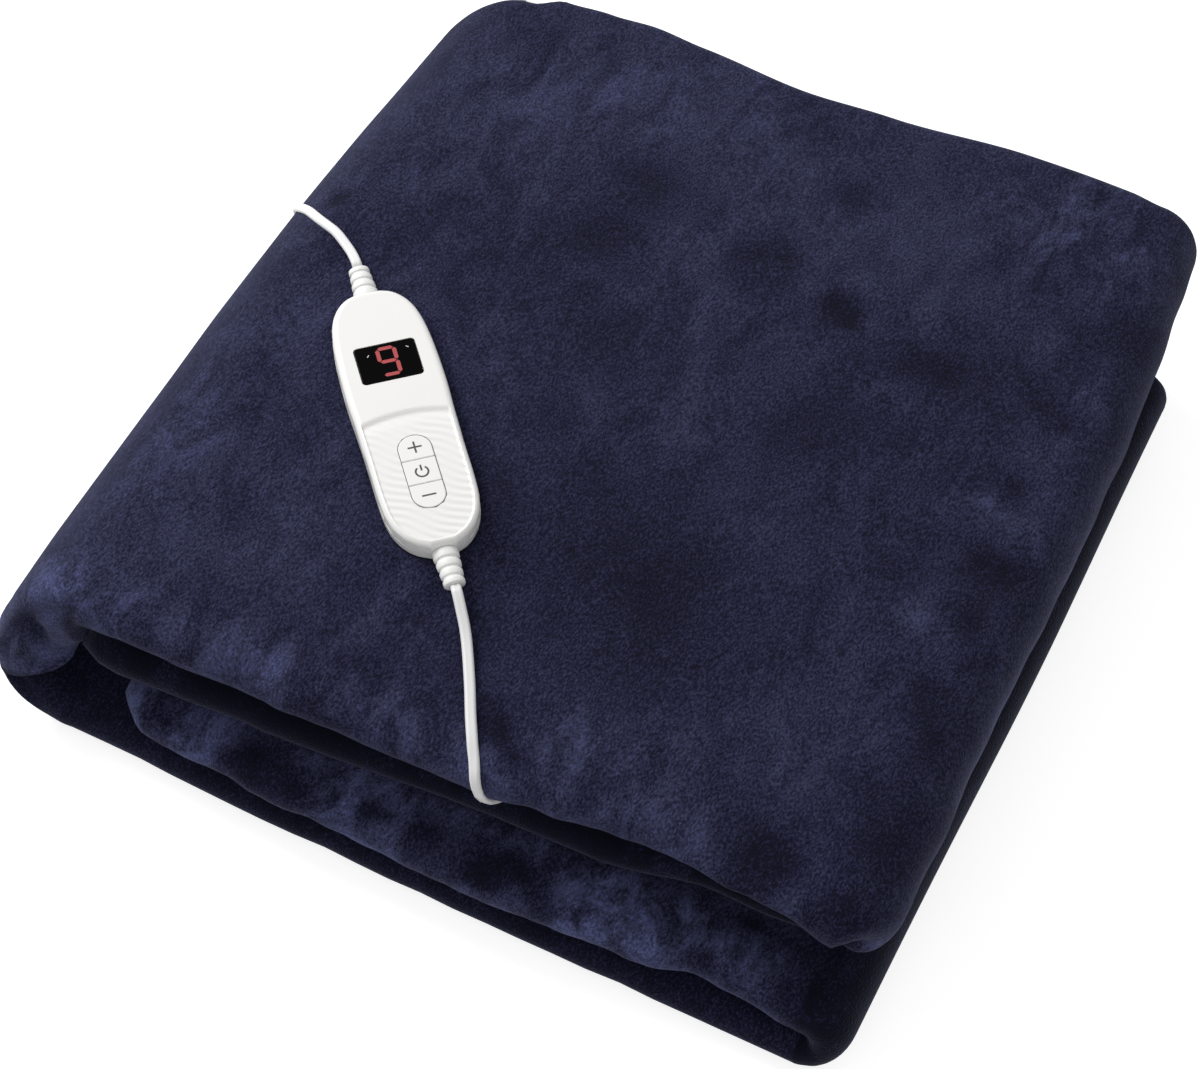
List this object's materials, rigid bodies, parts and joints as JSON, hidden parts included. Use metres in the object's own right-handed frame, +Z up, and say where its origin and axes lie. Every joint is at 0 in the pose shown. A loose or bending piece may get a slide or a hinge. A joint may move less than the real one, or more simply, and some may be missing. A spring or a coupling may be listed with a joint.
{
  "type": "electric heated blanket",
  "caption": "Plush electric heated blanket folded into a flat pack, with a slim handset with a display and keys lying on it, flat twin leads and a coiled mains lead with a plug.",
  "frame": {"origin": "on the floor under the middle of the folded blanket, measured without the leads, the coil and the plug", "axes": "+X along the pack's front edge to the right, +Y from the front edge to the back, +Z up out of the face that the handset lies on"},
  "size_m": [0.5594, 0.627, 0.1073],
  "materials": {
    "plush": "short brushed plush",
    "shell": "satin white",
    "keys": "warm white",
    "window": "glossy black window",
    "flex": "satin white flexible PVC",
    "pins": "nickelled"
  },
  "bodies": {
    "pack": {"blanket": "plush", "handset_base": "shell", "handset_cover": "shell", "display_window": "window", "relief_mains": "shell", "relief_blanket": "shell", "lead_mains": "flex", "lead_blanket": "flex", "coil_mains": "flex", "plug_relief": "shell", "plug_body": "shell", "plug_pin_left": "pins", "plug_pin_right": "pins"},
    "plus": {"key_plus": "keys"},
    "power": {"key_power": "keys"},
    "minus": {"key_minus": "keys"}
  },
  "joints": [
    {"name": "plus_press", "type": "slide", "parent": "pack", "child": "plus", "axis": [0, 0, -1], "range_m": [0, 0.0008], "stiffness_N_per_m": 1200},
    {"name": "power_press", "type": "slide", "parent": "pack", "child": "power", "axis": [0, 0, -1], "range_m": [0, 0.0008], "stiffness_N_per_m": 1200},
    {"name": "minus_press", "type": "slide", "parent": "pack", "child": "minus", "axis": [0, 0, -1], "range_m": [0, 0.0008], "stiffness_N_per_m": 1200}
  ]
}
